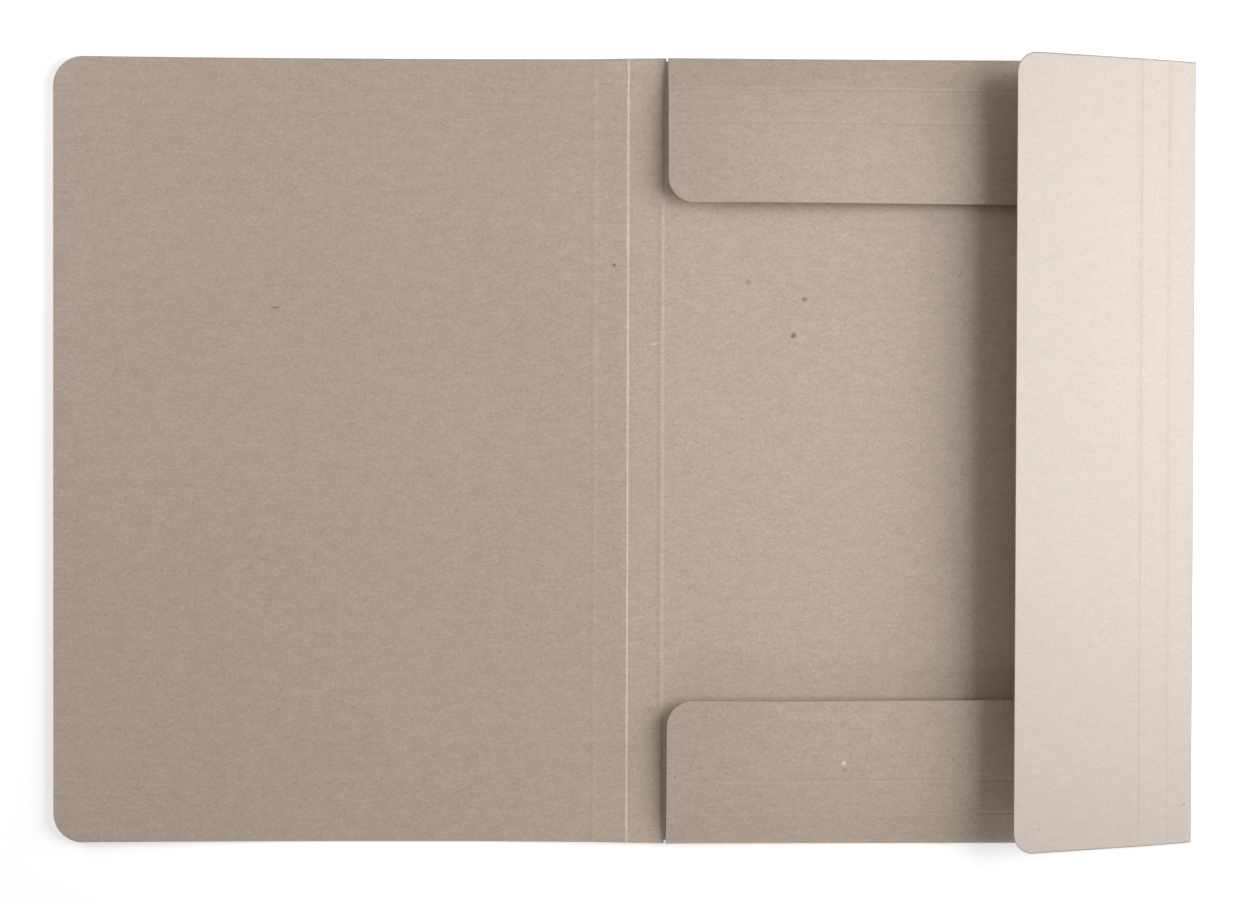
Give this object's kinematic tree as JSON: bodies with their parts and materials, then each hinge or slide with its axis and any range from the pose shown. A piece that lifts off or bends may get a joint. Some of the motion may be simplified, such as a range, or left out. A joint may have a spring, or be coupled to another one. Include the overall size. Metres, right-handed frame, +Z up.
{
  "type": "document folder",
  "caption": "Open document folder of one creased grey card sheet: a cover, a pleated spine and a back panel with end flaps and a side flap folded in over it.",
  "frame": {"origin": "centre of the open folder's outer box, at the table surface that it lies on", "axes": "+X across the open folder from the cover towards the side flap, +Y along the creases towards the top flap, +Z up from the table"},
  "size_m": [0.4646, 0.32, 0.03],
  "materials": {
    "grey_card": "matt uncoated recycled card, fibrous, with scattered specks"
  },
  "bodies": {
    "root": {"folder_sheet": "grey_card"}
  },
  "joints": []
}
